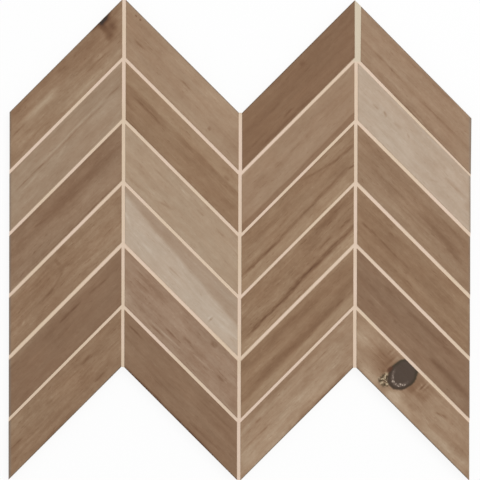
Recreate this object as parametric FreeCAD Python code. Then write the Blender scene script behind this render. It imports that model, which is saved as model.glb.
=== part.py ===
"""Chevron wall tile: a mosaic sheet of 24 mitred porcelain chips.

The sheet lies on its back. X runs across the columns, Y up the wall and Z out of the face.
The origin is on the floor under the middle of the sheet. All sizes are in millimetres.
"""

import FreeCAD, Part

import math
import os

# The layout of the sheet
COLUMNS = 4
ROWS = 6

# A chip, measured in the sheet's plane: level across it, and upright along its cut ends
CHIP_SPAN = 92.55
CHIP_STAND = 47.55
MITRE = 45.0
CHIP_THICK = 8.0
ARRIS = 0.6

# Keying grooves pressed into the back of each chip, along its grain
KEY_COUNT = 4
KEY_WIDTH = 3.0
KEY_DEPTH = 0.5

# The open joints: level between columns, and square across between the chips of a column
COLUMN_JOINT = 2.7
ROW_JOINT = 2.3
GROUT_SINK = 0.4

# How the columns were laid by hand: how far each steps left for a row down, and how low it is set
COLUMN_LEAN = (0.17, 0.27, 0.27, 0.27)
COLUMN_DROP = (0.0, 0.4, 0.65, 0.85)

# The one odd chip: its column and row, how much it was cut short, how much taller its far end is than
# its near end, how much wider its near joint is, how far it has slipped down, and its turn
ODD_CHIP = (4, 1)
ODD_SPAN_TRIM = 1.05
ODD_STAND_TRIM = 1.95
ODD_FLARE = 1.2
ODD_JOINT_EXTRA = 1.75
ODD_SLIP = 2.65
ODD_TURN = -0.6

# The chip below the odd one was ground down along its top to make room for it, more at its far end
ROOM_NEAR = 0.4
ROOM_FAR = 1.3

# The glass-fibre net glued to the back: two layers of flat yarn
YARN_WIDTH = 0.9
YARN_THICK = 0.25
NET_PITCH = 5.0
NET_INSET = 2.0

SLOPE = math.tan(math.radians(MITRE))
COLUMN_PITCH = CHIP_SPAN + COLUMN_JOINT
ROW_PITCH = CHIP_STAND + ROW_JOINT / math.cos(math.radians(MITRE))
BACK_Z = 2 * YARN_THICK
FACE_Z = BACK_Z + CHIP_THICK
UP = FreeCAD.Vector(0, 0, 1)
TOP_LEFT, TOP_RIGHT, BOTTOM_RIGHT, BOTTOM_LEFT = range(4)


def point(x, y, z=0.0):
    """A point of the sheet."""
    return FreeCAD.Vector(x, y, z)


def slab(corners, low, high):
    """The solid between two heights over an outline with straight sides."""
    ring = [point(c.x, c.y, low) for c in corners]
    face = Part.Face(Part.makePolygon(ring + ring[:1]))
    return face.extrude(UP * (high - low))


def rise_of(column):
    """1 where the chips of a column climb to the right, and -1 where they fall."""
    return 1 if column % 2 else -1


def chip_size(column, row):
    """The level span and upright stand that a chip is cut to."""
    if (column, row) == ODD_CHIP:
        return CHIP_SPAN - ODD_SPAN_TRIM, CHIP_STAND - ODD_STAND_TRIM
    return CHIP_SPAN, CHIP_STAND


def chip_place(column, row):
    """The middle of a chip in the sheet, before the sheet is centred."""
    middle_column = (COLUMNS + 1) / 2
    middle_row = (ROWS + 1) / 2
    laid = (column - 1) % len(COLUMN_LEAN)
    x = (column - middle_column) * COLUMN_PITCH - (row - middle_row) * COLUMN_LEAN[laid]
    y = (middle_row - row) * ROW_PITCH - COLUMN_DROP[laid]
    if (column, row) == ODD_CHIP:
        x += ODD_JOINT_EXTRA - ODD_SPAN_TRIM / 2
        y -= ODD_SLIP + ODD_STAND_TRIM / 2
    return point(x, y)


def end_stands(column, row):
    """A chip's stand at its left and right ends, and how far its top is ground down there."""
    stand = chip_size(column, row)[1]
    if (column, row) == ODD_CHIP:
        return (stand - ODD_FLARE / 2, stand + ODD_FLARE / 2), (0.0, 0.0)
    if (column, row - 1) == ODD_CHIP:
        return (stand, stand), (ROOM_NEAR, ROOM_FAR)
    return (stand, stand), (0.0, 0.0)


def chip_corners(column, row):
    """A chip's corners, in the order of TOP_LEFT, TOP_RIGHT, BOTTOM_RIGHT and BOTTOM_LEFT."""
    half_span = chip_size(column, row)[0] / 2
    (left_stand, right_stand), (left_off, right_off) = end_stands(column, row)
    climb = rise_of(column) * half_span * SLOPE
    corners = [
        point(-half_span, left_stand / 2 - climb - left_off),
        point(half_span, right_stand / 2 + climb - right_off),
        point(half_span, climb - right_stand / 2),
        point(-half_span, -climb - left_stand / 2),
    ]
    turn = ODD_TURN if (column, row) == ODD_CHIP else 0.0
    spin = FreeCAD.Rotation(UP, turn)
    place = chip_place(column, row)
    return [spin.multVec(corner) + place for corner in corners]


def body_blank(corners):
    """A chip with its arrises eased but its back still plain."""
    blank = slab(corners, BACK_Z, FACE_Z)
    face_edges = [e for e in blank.Edges if e.BoundBox.ZMin > FACE_Z - ARRIS]
    return blank.makeChamfer(ARRIS, face_edges)


def keying_grooves(corners):
    """The grooves across a chip's back, each running along the grain and out of both ends."""
    grain = (corners[TOP_RIGHT] - corners[TOP_LEFT]).normalize()
    run_out = grain * KEY_WIDTH
    across = UP.cross(grain) * (KEY_WIDTH / 2)
    end_drop = corners[BOTTOM_LEFT] - corners[TOP_LEFT]
    grooves = []
    for index in range(KEY_COUNT):
        share = (index + 0.5) / KEY_COUNT
        start = corners[TOP_LEFT] + end_drop * share - run_out
        end = corners[TOP_RIGHT] + end_drop * share + run_out
        outline = [start - across, end - across, end + across, start + across]
        grooves.append(slab(outline, 0.0, BACK_Z + KEY_DEPTH))
    return grooves


def sheet_outline(corners_of):
    """The outline of the filled sheet, through the corners of the chips on its edge."""
    columns = range(1, COLUMNS + 1)
    rows = range(1, ROWS + 1)
    top = [corners_of[c, 1][k] for c in columns for k in (TOP_LEFT, TOP_RIGHT)]
    right = [corners_of[COLUMNS, r][k] for r in rows for k in (TOP_RIGHT, BOTTOM_RIGHT)]
    bottom = [corners_of[c, ROWS][k] for c in reversed(columns) for k in (BOTTOM_RIGHT, BOTTOM_LEFT)]
    left = [corners_of[1, r][k] for r in reversed(rows) for k in (BOTTOM_LEFT, TOP_LEFT)]
    return top + right[1:] + bottom[1:] + left[1:-1]


def yarns(reach, lowest, upright):
    """One layer of straight yarns, NET_PITCH apart, over a square that the sheet fits in."""
    count = int(reach / NET_PITCH)
    layer = []
    for index in range(-count, count + 1):
        along = index * NET_PITCH
        near, far = along - YARN_WIDTH / 2, along + YARN_WIDTH / 2
        if upright:
            low, high = point(near, -reach), point(far, reach)
        else:
            low, high = point(-reach, near), point(reach, far)
        outline = [low, point(high.x, low.y), high, point(low.x, high.y)]
        layer.append(slab(outline, lowest, lowest + YARN_THICK))
    return layer


def trimmed_net(outline, lowest, upright):
    """A layer of yarns cut off just inside the edge of the sheet."""
    ring = Part.makePolygon(outline + outline[:1])
    area = Part.Face(ring).makeOffset2D(-NET_INSET, 2)
    room = area.extrude(UP * (BACK_Z + YARN_THICK))
    reach = max(area.BoundBox.XMax, area.BoundBox.YMax)
    pieces = []
    for yarn in yarns(reach, lowest, upright):
        pieces += yarn.common(room).Solids
    return Part.makeCompound(pieces)


def centred(corners_of):
    """The chips' corners, moved so that the middle of the whole sheet is at the origin."""
    every = [corner for corners in corners_of.values() for corner in corners]
    middle_x = (min(c.x for c in every) + max(c.x for c in every)) / 2
    middle_y = (min(c.y for c in every) + max(c.y for c in every)) / 2
    shift = point(middle_x, middle_y)
    return {spot: [c - shift for c in corners] for spot, corners in corners_of.items()}


def build():
    """Every piece of the sheet, by name."""
    spots = [(c, r) for c in range(1, COLUMNS + 1) for r in range(1, ROWS + 1)]
    corners_of = centred({spot: chip_corners(*spot) for spot in spots})
    blanks = {spot: body_blank(corners) for spot, corners in corners_of.items()}
    outline = sheet_outline(corners_of)
    pieces = {}
    for spot, blank in blanks.items():
        chip = blank.cut(keying_grooves(corners_of[spot]))
        pieces["chip_c%d_r%d" % spot] = chip.Solids[0]
    filler = slab(outline, BACK_Z, FACE_Z - GROUT_SINK)
    pieces["joint_grout"] = filler.cut(list(blanks.values())).Solids[0]
    pieces["net_warp"] = trimmed_net(outline, 0.0, upright=True)
    pieces["net_weft"] = trimmed_net(outline, YARN_THICK, upright=False)
    return pieces


def main():
    """Writes one STEP file for each piece and prints what was made."""
    os.makedirs("parts", exist_ok=True)
    total = 0.0
    for name, shape in build().items():
        shape.exportStep("parts/%s.step" % name)
        total += shape.Volume
        box = shape.BoundBox
        print(name, len(shape.Solids), shape.isValid(), round(shape.Volume, 1),
              [round(v, 2) for v in (box.XMin, box.XMax, box.YMin, box.YMax, box.ZMin, box.ZMax)])
    print("volume in cubic centimetres", round(total / 1000, 1))


main()
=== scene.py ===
# %% [markdown]
# # A chevron sheet of wood-look porcelain
# The object is a wall tile as it is sold: one sheet of 24 mitred porcelain chips with cream joints
# between them and a glass-fibre net on the back. Its solids come from the packed model, at their
# real size. This lesson gives each of them a finish, and builds a finer mesh where the solid is
# too plain. Everything is in metres, with X across the columns, Y up the wall and Z out of the face.

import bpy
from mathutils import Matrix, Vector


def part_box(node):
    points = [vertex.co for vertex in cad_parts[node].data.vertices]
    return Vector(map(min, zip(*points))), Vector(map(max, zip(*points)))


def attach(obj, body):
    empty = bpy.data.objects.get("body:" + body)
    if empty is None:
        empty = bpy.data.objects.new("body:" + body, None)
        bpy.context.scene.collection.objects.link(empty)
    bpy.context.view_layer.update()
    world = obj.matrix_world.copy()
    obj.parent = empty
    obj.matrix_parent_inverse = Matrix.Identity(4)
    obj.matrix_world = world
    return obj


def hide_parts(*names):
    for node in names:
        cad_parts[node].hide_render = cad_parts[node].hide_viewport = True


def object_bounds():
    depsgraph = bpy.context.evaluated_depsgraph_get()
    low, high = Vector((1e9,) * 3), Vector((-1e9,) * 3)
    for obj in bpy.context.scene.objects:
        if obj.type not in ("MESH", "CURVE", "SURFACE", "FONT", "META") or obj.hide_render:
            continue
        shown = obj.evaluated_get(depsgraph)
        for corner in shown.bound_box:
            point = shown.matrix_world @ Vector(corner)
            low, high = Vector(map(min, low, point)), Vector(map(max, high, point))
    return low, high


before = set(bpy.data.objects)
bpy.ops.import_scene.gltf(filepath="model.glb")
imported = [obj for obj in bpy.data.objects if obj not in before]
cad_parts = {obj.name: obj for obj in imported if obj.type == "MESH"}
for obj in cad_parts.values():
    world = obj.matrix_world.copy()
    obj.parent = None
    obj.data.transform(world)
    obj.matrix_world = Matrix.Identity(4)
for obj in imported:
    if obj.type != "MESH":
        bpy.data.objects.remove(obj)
cad_low, cad_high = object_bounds()

# %% [markdown]
# ## Units and colours
# Sizes below are written in millimetres, because that is how tiles are measured. Colours are
# written as they would be read off a screen, from 0 to 255. A shader works in linear light, so
# one small function turns a screen colour into a linear one.

# %% Units and colours
import math

import bmesh
import bpy
from mathutils import Vector, geometry, noise

MM = 0.001
SCREEN_WHITE = 255.0
WHITE = (1.0, 1.0, 1.0, 1.0)


def linear(red, green, blue):
    """A screen colour from 0 to 255 as the linear colour with alpha that a socket takes."""
    parts = []
    for part in (red, green, blue):
        share = part / SCREEN_WHITE
        # the standard curve of a screen: straight near black and a power above it
        parts.append(share / 12.92 if share <= 0.04045 else ((share + 0.055) / 1.055) ** 2.4)
    return (*parts, 1.0)


print("mid grey in linear light:", round(linear(128, 128, 128)[0], 3))

# %% [markdown]
# ## The camera
# The photograph looks straight at the face of the sheet. The sheet lies on its back here, so the
# camera looks straight down. A long lens far away keeps the columns upright, as in a catalogue
# picture. The picture is 480 pixels wide, and the columns' spacing says how many of them make a
# millimetre, so the camera's height follows from the lens.

# %% The camera
PICTURE_PIXELS = 480
PIXELS_PER_MM = 1.2195
LENS_MM = 85.0
SENSOR_MM = 36.0

face_z = cad_high.z
view_width = PICTURE_PIXELS / PIXELS_PER_MM * MM
eye_height = face_z + view_width * LENS_MM / SENSOR_MM

camera_data = bpy.data.cameras.new("sheet_camera")
camera_data.lens = LENS_MM
camera_data.sensor_width = SENSOR_MM
camera = bpy.data.objects.new("sheet_camera", camera_data)
camera.location = (0.0, 0.0, eye_height)
bpy.context.scene.collection.objects.link(camera)
bpy.context.scene.camera = camera
bpy.context.scene.view_settings.view_transform = "Standard"
print("camera height in metres:", round(eye_height, 3))

# %% [markdown]
# ## Short calls for nodes
# A printed surface is a picture worked out by nodes: noise, sums and mixes. Setting up each node
# by hand takes many lines, so one small class gives them short names. A value handed to it may be
# a number or another node's output, and it links or sets the socket as needed.

# %% Short calls for nodes


class Wires:
    """Short calls for the nodes of one node tree."""

    def __init__(self, tree):
        self.tree = tree

    def put(self, kind, **settings):
        """A new node with its settings."""
        node = self.tree.nodes.new("ShaderNode" + kind)
        for name, value in settings.items():
            setattr(node, name, value)
        return node

    def feed(self, socket, value):
        """Links a socket to another node's output, or sets it to a number."""
        if isinstance(value, bpy.types.NodeSocket):
            self.tree.links.new(value, socket)
        else:
            socket.default_value = value

    def maths(self, operation, *values):
        """A sum on single numbers."""
        node = self.put("Math", operation=operation)
        for socket, value in zip(node.inputs, values):
            self.feed(socket, value)
        return node.outputs[0]

    def vector(self, operation, *values):
        """A sum on vectors."""
        node = self.put("VectorMath", operation=operation)
        for socket, value in zip(node.inputs, values):
            self.feed(socket, value)
        return node.outputs["Value" if operation == "LENGTH" else "Vector"]

    def total(self, *values):
        """The sum of several numbers."""
        result = values[0]
        for value in values[1:]:
            result = self.maths("ADD", result, value)
        return result

    def times(self, *values):
        """The product of several numbers."""
        result = values[0]
        for value in values[1:]:
            result = self.maths("MULTIPLY", result, value)
        return result

    def less(self, value, taken):
        """A number with another taken off it."""
        return self.maths("SUBTRACT", value, taken)

    def size(self, value):
        """A number without its sign."""
        return self.maths("ABSOLUTE", value)

    def ease(self, value, start, end, low=0.0, high=1.0):
        """Goes smoothly from low to high as the value goes from start to end."""
        node = self.put("MapRange", interpolation_type="SMOOTHSTEP")
        for name, number in (("Value", value), ("From Min", start), ("From Max", end),
                             ("To Min", low), ("To Max", high)):
            self.feed(node.inputs[name], number)
        return node.outputs["Result"]

    def noise(self, place, stretch, detail=2.0, rough=0.5):
        """Cloudy noise, with so many lumps to each unit of place along X, Y and Z."""
        node = self.put("TexNoise")
        self.feed(node.inputs["Vector"], self.vector("MULTIPLY", place, stretch))
        node.inputs["Scale"].default_value = 1.0
        node.inputs["Detail"].default_value = detail
        node.inputs["Roughness"].default_value = rough
        return node.outputs["Fac"]

    def swing(self, value, gain):
        """Noise, which lies about a half, as a number about zero."""
        return self.times(self.less(value, 0.5), gain)

    def mix(self, share, first, second):
        """A colour between two colours."""
        node = self.put("Mix", data_type="RGBA")
        self.feed(node.inputs[0], share)
        self.feed(node.inputs[6], first)
        self.feed(node.inputs[7], second)
        return node.outputs[2]

    def split(self, place):
        """The X, Y and Z of a vector."""
        node = self.put("SeparateXYZ")
        self.feed(node.inputs[0], place)
        return node.outputs[0], node.outputs[1], node.outputs[2]

    def join(self, x, y, z):
        """A vector from its X, Y and Z."""
        node = self.put("CombineXYZ")
        for socket, value in zip(node.inputs, (x, y, z)):
            self.feed(socket, value)
        return node.outputs[0]

    def call(self, group, **values):
        """A node group, fed by the names of its inputs."""
        node = self.put("Group", node_tree=group)
        for name, value in values.items():
            self.feed(node.inputs[name], value)
        return node.outputs


print("short calls:", ", ".join(name for name in vars(Wires) if not name.startswith("_")))

# %% [markdown]
# ## New groups and materials
# All 24 chips show the same kind of wood, so its pattern should be wired up only once. It could be
# copied into each chip's material, but a change would then have to be made 24 times. A node group
# is made once and called by every material. Two short functions start an empty group and an empty
# material.

# %% New groups and materials


def new_group(name, inputs, outputs):
    """An empty node group: its tree, its wires, its inputs by name and its closing node."""
    tree = bpy.data.node_groups.new(name, "ShaderNodeTree")
    kinds = {"vector": "NodeSocketVector", "number": "NodeSocketFloat"}
    for label, kind in inputs.items():
        tree.interface.new_socket(label, in_out="INPUT", socket_type=kinds[kind])
    for label, kind in outputs.items():
        tree.interface.new_socket(label, in_out="OUTPUT", socket_type=kinds[kind])
    start = tree.nodes.new("NodeGroupInput")
    end = tree.nodes.new("NodeGroupOutput")
    return tree, Wires(tree), start.outputs, end.inputs


def new_material(name):
    """A material: itself, its wires and its main shader."""
    material = bpy.data.materials.new(name)
    material.use_nodes = True
    tree = material.node_tree
    return material, Wires(tree), tree.nodes["Principled BSDF"]


print("helpers ready:", new_group.__name__, "and", new_material.__name__)

# %% [markdown]
# ## Light
# Catalogue pictures of tile are lit from all round, so that the printed colour shows and little
# else. A pale world does most of it. One large lamp from the upper right lets the eased edges and
# the fine relief of the face catch a little shade. The two together light a level face so that a
# colour comes out about as it is written.

# %% Light
WORLD_STRENGTH = 0.64
LAMP_SIDE = 1.6
LAMP_PLACE = (0.9, 1.0, 2.0)
LAMP_WATTS = 25.0

world = bpy.data.worlds.new("studio")
world.use_nodes = True
bpy.context.scene.world = world
sky = Wires(world.node_tree)
background = world.node_tree.nodes["Background"]
background.inputs["Color"].default_value = WHITE


def seen_directly(wires):
    """1 for rays that the eye, a gloss or a clear thing sends, and 0 for rays that carry light."""
    path = wires.put("LightPath").outputs
    seen = wires.maths("MAXIMUM", path["Is Camera Ray"], path["Is Glossy Ray"])
    return wires.maths("MAXIMUM", seen, path["Is Transmission Ray"])


sky.feed(background.inputs["Strength"], sky.ease(seen_directly(sky), 0.0, 1.0, WORLD_STRENGTH, 1.0))

lamp_data = bpy.data.lights.new("soft_lamp", "AREA")
lamp_data.shape = "SQUARE"
lamp_data.size = LAMP_SIDE
lamp_data.energy = LAMP_WATTS
lamp = bpy.data.objects.new("soft_lamp", lamp_data)
lamp.location = LAMP_PLACE
lamp.rotation_euler = (-Vector(LAMP_PLACE)).to_track_quat("-Z", "Y").to_euler()
bpy.context.scene.collection.objects.link(lamp)
print("lamp distance in metres:", round(Vector(LAMP_PLACE).length, 2))

# %% [markdown]
# ## The floor
# A plain white floor carries the sheet and takes its soft shadow. Most of what the eye sees of it
# is plain white, so that it reads as white paper, and the rest is lit, so that the shadow stays.
# The sheet gets only the light that white paint would send back.

# %% The floor
FLOOR_REACH = 12.0
FLOOR_PAINT = (0.97, 0.97, 0.97, 1.0)
FLOOR_WHITE_SHARE = 0.88

floor_mesh = bpy.data.meshes.new("floor")
floor_corners = [(-FLOOR_REACH, -FLOOR_REACH, 0), (FLOOR_REACH, -FLOOR_REACH, 0),
                 (FLOOR_REACH, FLOOR_REACH, 0), (-FLOOR_REACH, FLOOR_REACH, 0)]
floor_mesh.from_pydata(floor_corners, [], [(0, 1, 2, 3)])
floor = bpy.data.objects.new("floor", floor_mesh)
bpy.context.scene.collection.objects.link(floor)

paper, wires, shader = new_material("white_floor")
shader.inputs["Base Color"].default_value = FLOOR_PAINT
shader.inputs["Roughness"].default_value = 0.9
shader.inputs["Specular IOR Level"].default_value = 0.0
glow = wires.put("Emission")
glow.inputs["Color"].default_value = WHITE
blend = wires.put("MixShader")
wires.feed(blend.inputs[0], wires.times(seen_directly(wires), FLOOR_WHITE_SHARE))
wires.feed(blend.inputs[1], shader.outputs[0])
wires.feed(blend.inputs[2], glow.outputs[0])
wires.feed(paper.node_tree.nodes["Material Output"].inputs["Surface"], blend.outputs[0])
floor_mesh.materials.append(paper)
print("floor is", 2 * FLOOR_REACH, "m square")

# %% [markdown]
# ## Where each chip lies
# A finer chip has to sit exactly where the solid is, also the odd one that was laid askew. The
# solid's own points say where. Just below its eased face edge there are four of them, which are
# the corners of its outline.

# %% Where each chip lies
COLUMNS = 4
ROWS = 6
ARRIS_MM = 0.6
SAME_HEIGHT_MM = 0.01
TOP_LEFT, TOP_RIGHT, BOTTOM_RIGHT, BOTTOM_LEFT = range(4)

chip_low, chip_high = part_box("chip_c1_r1")
back_z = chip_low.z
corner_z = chip_high.z - ARRIS_MM * MM


def chip_name(column, row):
    """The name of a chip's solid."""
    return f"chip_c{column}_r{row}"


def chip_corners(column, row):
    """A chip's corners as it lies: top left, top right, bottom right and bottom left."""
    points = set()
    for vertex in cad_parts[chip_name(column, row)].data.vertices:
        if abs(vertex.co.z - corner_z) < SAME_HEIGHT_MM * MM:
            points.add((round(vertex.co.x, 6), round(vertex.co.y, 6)))
    in_order = sorted(points)
    left = sorted(in_order[:2], key=lambda p: p[1])
    right = sorted(in_order[-2:], key=lambda p: p[1])
    return [Vector(p) for p in (left[1], right[1], right[0], left[0])]


SPOTS = [(column, row) for column in range(1, COLUMNS + 1) for row in range(1, ROWS + 1)]
corners_of = {spot: chip_corners(*spot) for spot in SPOTS}
level_span = corners_of[1, 1][TOP_RIGHT].x - corners_of[1, 1][TOP_LEFT].x
print("chips:", len(corners_of), "first chip's level span in mm:", round(level_span / MM, 2))

# %% [markdown]
# ## The mesh of a chip
# A chip was pressed and fired flat, then sawn. Its face has a faint relief along the printed grain
# that a finger can feel, and its edges are eased but never quite even: the width of the bevel
# wanders, and here and there a flake has gone. So the face is a grid of points over the four
# corners, close together at the edges. Each point is let down by the bevel of the nearest edge, or
# by the relief. The back keeps its keying grooves. Every line of points across the chip is the same
# closed ring, so the skin has no gaps. The bevels differ with their place: narrow along the joints,
# a little wider between the chips of the two columns that climb, wider still along the sheet's own
# upper and lower edges, and widest where the saw cut the sheet's two sides.

# %% How the edge of a chip is worn
BEVEL_DEEP_MM = 0.6
CLIMBING_BEVEL_MM = 0.62
JOINT_BEVEL_MM = 0.36
FREE_BEVEL_MM = 0.85
CUT_BEVEL_MM = 1.6
BEVEL_WANDER = 0.3
BEVEL_CURVE = 1.25
FLAKE_WIDE_MM = 1.1
FLAKE_FINENESS = 2.3
FLAKE_FROM, FLAKE_RISE = 0.42, 0.3
RELIEF_MM = 0.12
RELIEF_MEAN = 0.45
BROAD_PER_MM, BROAD_GAIN = (0.03, 0.35), 0.7
FINE_PER_MM, FINE_GAIN = (0.07, 1.3), 0.45
FINE_SEED_STEP = 9.0


def bevel_depth(gap, wide, where):
    """How far the worn edge lies below the face in mm, at a gap in from an edge worn so wide."""
    wide *= 1.0 + BEVEL_WANDER * noise.noise(where)
    flake = noise.noise(where * FLAKE_FINENESS + Vector((5.0, 1.0, 0.0))) - FLAKE_FROM
    wide += max(0.0, flake) * FLAKE_WIDE_MM / FLAKE_RISE
    inward = min(1.0, max(0.0, gap / wide))
    return BEVEL_DEEP_MM * (1.0 - inward) ** BEVEL_CURVE


def relief_depth(along, across, seed):
    """The depth of the pressed grain in mm."""
    broad = noise.noise(Vector((along * BROAD_PER_MM[0], across * BROAD_PER_MM[1], seed)))
    fine_place = (along * FINE_PER_MM[0], across * FINE_PER_MM[1], seed + FINE_SEED_STEP)
    fine = noise.noise(Vector(fine_place))
    return RELIEF_MM * min(1.0, max(0.0, RELIEF_MEAN + BROAD_GAIN * broad + FINE_GAIN * fine))


middle_of_edge = Vector((3.0, 4.0, 1.0))
depths = [bevel_depth(gap, JOINT_BEVEL_MM, middle_of_edge) for gap in (0.0, 0.3, 0.6)]
print("bevel at 0, 0.3 and 0.6 mm in:", [round(depth, 2) for depth in depths])

# %% The mesh of a chip
EDGE_STEPS_MM = (0.0, 0.12, 0.3, 0.55, 0.85, 1.3)
ALONG_STEP_MM = 1.8
ACROSS_STEP_MM = 1.15
KEY_COUNT = 4
KEY_WIDTH_MM = 3.0
KEY_DEPTH_MM = 0.5
SHARP_ANGLE = math.radians(38)
WEAR_PER_M = 110
SIDE_APART = 7.0


def steps_over(length, step):
    """Places from 0 to a length in mm, close together at both ends."""
    inner = length - 2 * EDGE_STEPS_MM[-1]
    count = max(2, round(inner / step))
    middle = [EDGE_STEPS_MM[-1] + inner * k / count for k in range(1, count)]
    return [*EDGE_STEPS_MM, *middle, *(length - e for e in reversed(EDGE_STEPS_MM))]


def back_profile(width):
    """The back from one long edge to the other: places across in mm, each with its height in mm."""
    profile = [(0.0, 0.0)]
    for k in range(KEY_COUNT):
        middle = width * (k + 0.5) / KEY_COUNT
        near, far = middle - KEY_WIDTH_MM / 2, middle + KEY_WIDTH_MM / 2
        profile += [(near, 0.0), (near, KEY_DEPTH_MM), (far, KEY_DEPTH_MM), (far, 0.0)]
    return [*profile, (width, 0.0)]


def between_corners(corners, along_share, across_share):
    """The place in the sheet at a share of the way along a chip and a share of the way across it."""
    top_left, top_right, bottom_right, bottom_left = corners
    upper = top_left.lerp(top_right, along_share)
    lower = bottom_left.lerp(bottom_right, along_share)
    return upper.lerp(lower, across_share)


def bevel_widths(column, row):
    """How wide the top, right, bottom and left edges of a chip are worn, in mm."""
    row_bevel = CLIMBING_BEVEL_MM if column % 2 else JOINT_BEVEL_MM
    return (row_bevel if row > 1 else FREE_BEVEL_MM,
            JOINT_BEVEL_MM if column < COLUMNS else CUT_BEVEL_MM,
            row_bevel if row < ROWS else FREE_BEVEL_MM,
            JOINT_BEVEL_MM if column > 1 else CUT_BEVEL_MM)


def worn_depth(gaps, widths, where):
    """How far the face is let down by the worst of the four edges."""
    return max(bevel_depth(gap, wide, where + Vector((side * SIDE_APART, 0.0, 0.0)))
               for side, (gap, wide) in enumerate(zip(gaps, widths)))


def chip_rings(spot, seed):
    """The closed rings of points that go round a chip, from its left end to its right end."""
    corners = corners_of[spot]
    widths = bevel_widths(*spot)
    top_left, top_right, bottom_right, bottom_left = corners
    length = (top_right - top_left).length / MM
    stand = bottom_left - top_left
    width = abs((top_right - top_left).normalized().cross(stand)) / MM
    slant = (top_right - top_left).normalized().dot(stand) / MM
    square = width / (stand.length / MM)
    rings = []
    for along in steps_over(length, ALONG_STEP_MM):
        ring = []
        for across in steps_over(width, ACROSS_STEP_MM):
            flat = between_corners(corners, along / length, across / width)
            where = Vector((flat.x * WEAR_PER_M, flat.y * WEAR_PER_M, seed))
            gaps = (across, (length - along) * square, width - across, along * square)
            worn = worn_depth(gaps, widths, where)
            grain_run = along + slant * across / width
            pressed = relief_depth(grain_run, across, seed) * min(1.0, *gaps)
            ring.append((flat.x, flat.y, chip_high.z - max(worn, pressed) * MM))
        for across, height in reversed(back_profile(width)):
            flat = between_corners(corners, along / length, across / width)
            ring.append((flat.x, flat.y, back_z + height * MM))
        rings.append(ring)
    return rings, len(steps_over(width, ACROSS_STEP_MM))


def finished_mesh(name, made, sharp_angle):
    """A bmesh as a mesh, with its faces turned outwards and shaded smooth but for sharp edges."""
    bmesh.ops.recalc_face_normals(made, faces=made.faces[:])
    mesh = bpy.data.meshes.new(name)
    made.to_mesh(mesh)
    made.free()
    mesh.shade_smooth()
    mesh.set_sharp_from_angle(angle=sharp_angle)
    return mesh


def chip_mesh(name, spot, seed):
    """The skin of one chip: slot 0 is the printed face and slot 1 the fired body."""
    rings, face_count = chip_rings(spot, seed)
    made = bmesh.new()
    lines = [[made.verts.new(p) for p in ring] for ring in rings]
    count = len(lines[0])
    for line, following in zip(lines, lines[1:]):
        for k in range(count):
            after = (k + 1) % count
            skin = made.faces.new((line[k], line[after], following[after], following[k]))
            skin.material_index = 0 if k < face_count - 1 else 1
    for cap in (lines[0], lines[-1]):
        made.faces.new(cap).material_index = 1
    return finished_mesh(name, made, SHARP_ANGLE)


trial = chip_mesh("trial", (1, 1), 1.0)
print("points in one chip:", len(trial.vertices), "faces:", len(trial.polygons))
bpy.data.meshes.remove(trial)

# %% [markdown]
# ## The figure of the wood
# The face is printed with oak. Oak has broad soft bands, fine lines, short dark pores and slow
# clouds of tone, most of them drawn out along the grain. Noise gives each of them when its place is
# squeezed along the grain and stretched across it, so each line of the table below is one sort of
# figure: how many lumps there are to a mm along and across, its own depth in the noise, so that no
# two sorts look alike, and how strong it is. The group returns the tone, where below zero is darker
# wood and above zero is paler, and also the fibre and how red or olive the wood is.

# %% The figure of the wood
FIGURE = (
    ("bands", 0.006, 0.16, 1.0, 0.62),
    ("lines", 0.024, 0.66, 2.0, 0.32),
    ("mottle", 0.075, 0.2, 3.0, 0.58),
    ("clouds", 0.02, 0.05, 4.0, 0.65),
    ("burr", 0.3, 0.45, 5.0, 0.36),
)
LONG_WANDER_PER_MM, LONG_WANDER_MM = (0.013, 0.035, 1.0), 6.0
SHORT_WANDER_PER_MM, SHORT_WANDER_MM = (0.06, 0.12, 1.4), 1.6
FIBRES_PER_MM, FIBRE_GAIN = (0.07, 2.4, 6.0), 0.28
PORES_PER_MM, PORE_FROM_TO, PORE_DARK = (0.13, 1.0, 7.0), (0.63, 0.72), -0.34
FLECKS_PER_MM, FLECK_FROM_TO, FLECK_PALE = (0.17, 0.75, 8.0), (0.63, 0.73), 0.2
TINTS_PER_MM, TINT_GAIN = (0.025, 0.06, 9.0), 2.0

oak_figure, wires, given, result = new_group(
    "oak_figure", {"Grain": "vector"}, {"Tone": "number", "Fibre": "number", "Tint": "number"})
grain = given["Grain"]
long_wander = wires.swing(wires.noise(grain, LONG_WANDER_PER_MM), LONG_WANDER_MM)
short_wander = wires.swing(wires.noise(grain, SHORT_WANDER_PER_MM), SHORT_WANDER_MM)
bent = wires.vector("ADD", grain, wires.join(0.0, wires.total(long_wander, short_wander), 0.0))
tone = 0.0
for label, along, across, depth, gain in FIGURE:
    layer = wires.noise(bent, (along, across, depth), 3.0, 0.55)
    layer.node.label = label
    tone = wires.total(wires.swing(layer, gain), tone)
fibre = wires.noise(bent, FIBRES_PER_MM, 2.0, 0.6)
pores = wires.ease(wires.noise(bent, PORES_PER_MM, 2.0, 0.6), *PORE_FROM_TO, 0.0, PORE_DARK)
flecks = wires.ease(wires.noise(bent, FLECKS_PER_MM, 2.0, 0.6), *FLECK_FROM_TO, 0.0, FLECK_PALE)
wires.feed(result["Tone"], wires.total(tone, wires.swing(fibre, FIBRE_GAIN), pores, flecks))
wires.feed(result["Fibre"], fibre)
wires.feed(result["Tint"], wires.swing(wires.noise(grain, TINTS_PER_MM), TINT_GAIN))
print("figure group:", len(oak_figure.nodes), "nodes")

# %% [markdown]
# ## Marks that were really in the plank
# Noise alone makes wood of no tree in particular. What makes one chip differ from the next is a
# few marks: a dark streak, a band, a pale strip, a line where the tone changes. One group draws a
# soft spindle-shaped mark at a place on the chip, and another draws a change of tone on one side
# of a line. Both work in the grain's own directions, U along it and V down across it, in mm.

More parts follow.
